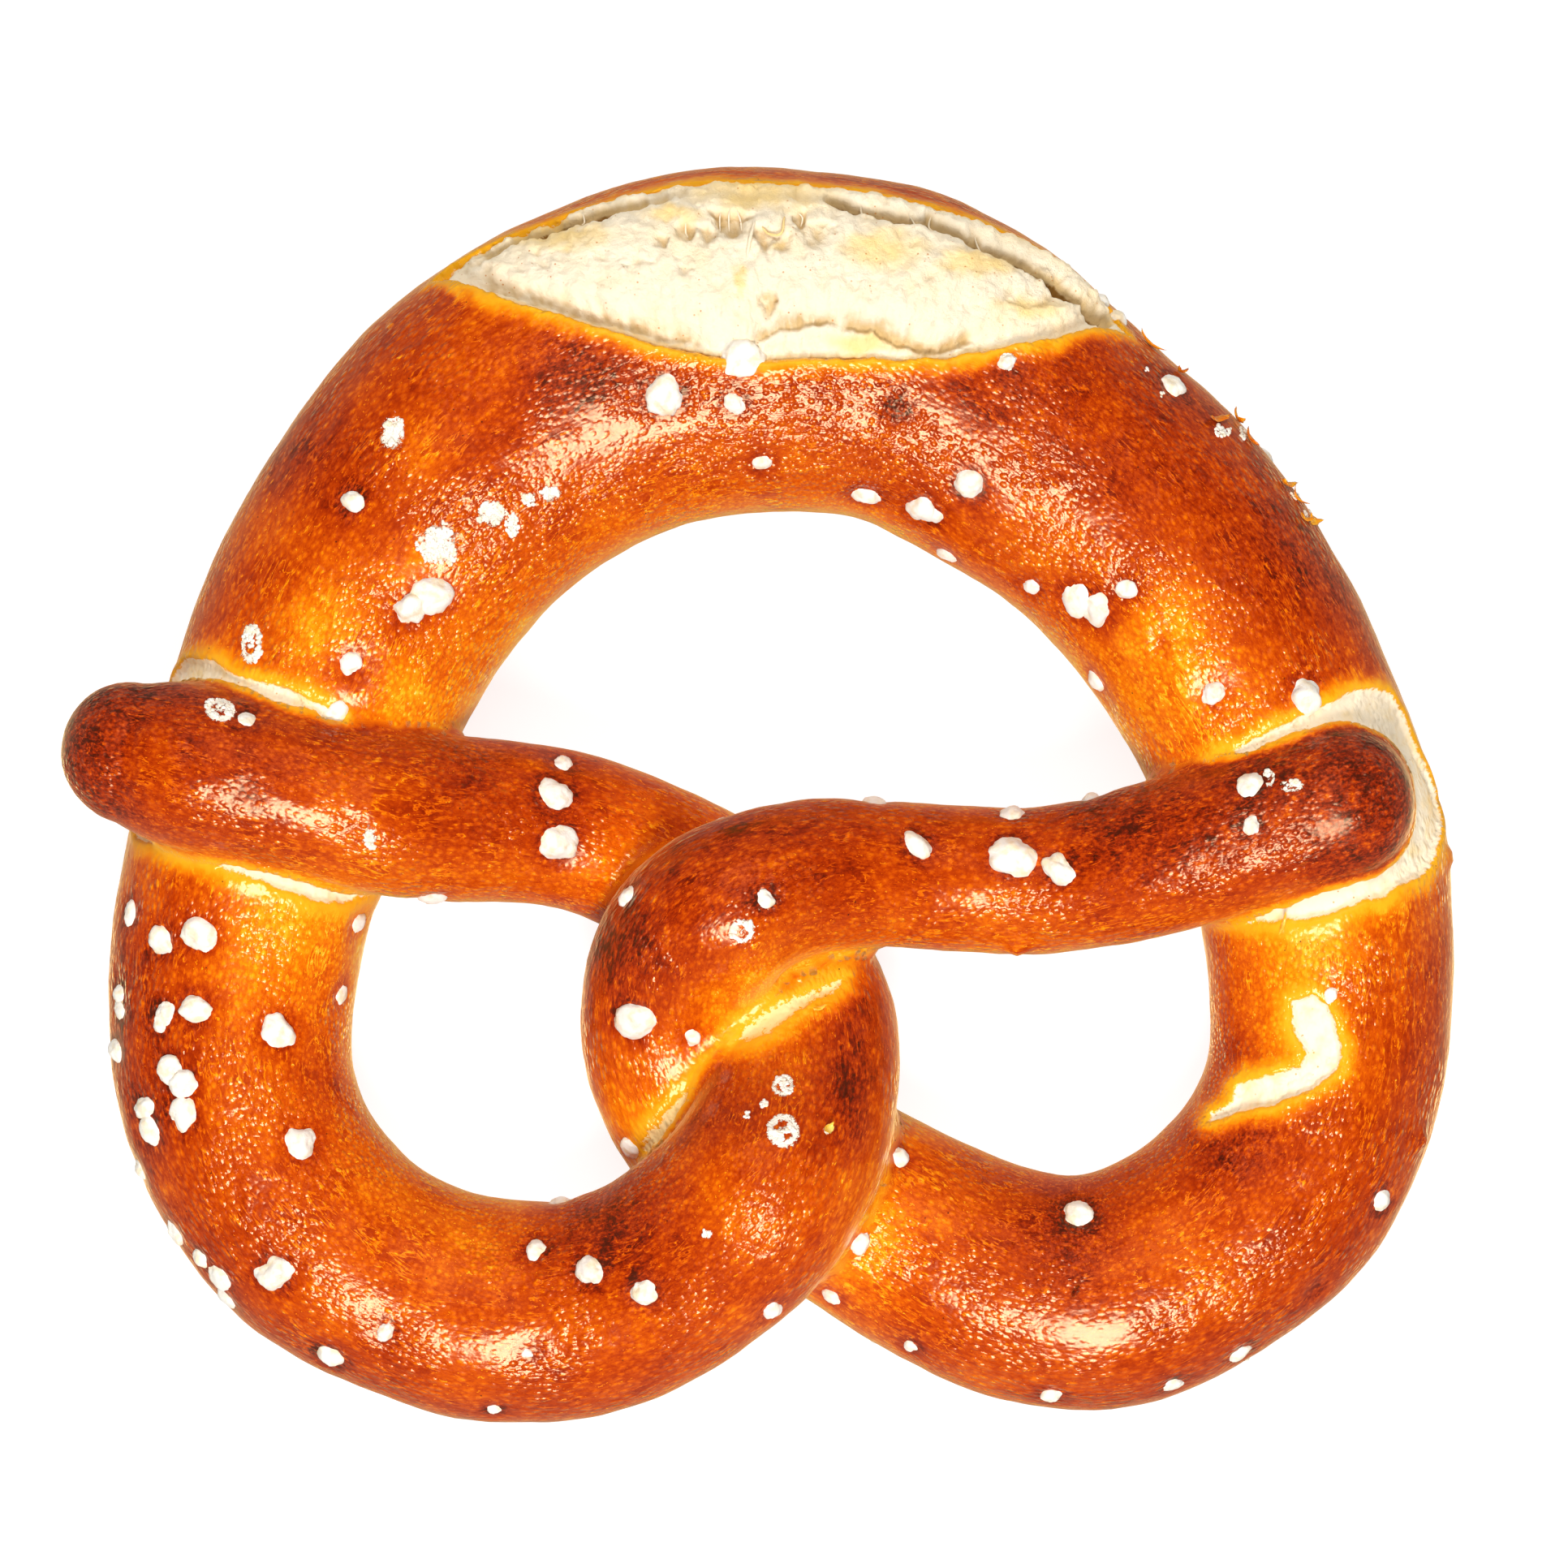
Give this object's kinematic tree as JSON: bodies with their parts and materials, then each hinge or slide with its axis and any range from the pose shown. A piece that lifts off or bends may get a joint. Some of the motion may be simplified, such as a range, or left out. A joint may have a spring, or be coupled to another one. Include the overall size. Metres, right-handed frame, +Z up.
{
  "type": "soft pretzel",
  "caption": "Baked soft pretzel: one rope of dough with a burst belly, two lower loops, a double twist and crossed arms, topped with coarse salt.",
  "frame": {"origin": "on the surface that the pretzel lies on, under the middle of its box", "axes": "+X towards the right arm's tip, +Y towards the thick belly, +Z up"},
  "size_m": [0.1602, 0.1449, 0.0325],
  "materials": {
    "crust": "glossy orange-brown lye crust with fine leathery wrinkles",
    "crumb": "matte cream torn crumb",
    "salt": "matte off-white coarse salt"
  },
  "bodies": {
    "root": {"pretzel": "crust"}
  },
  "joints": []
}
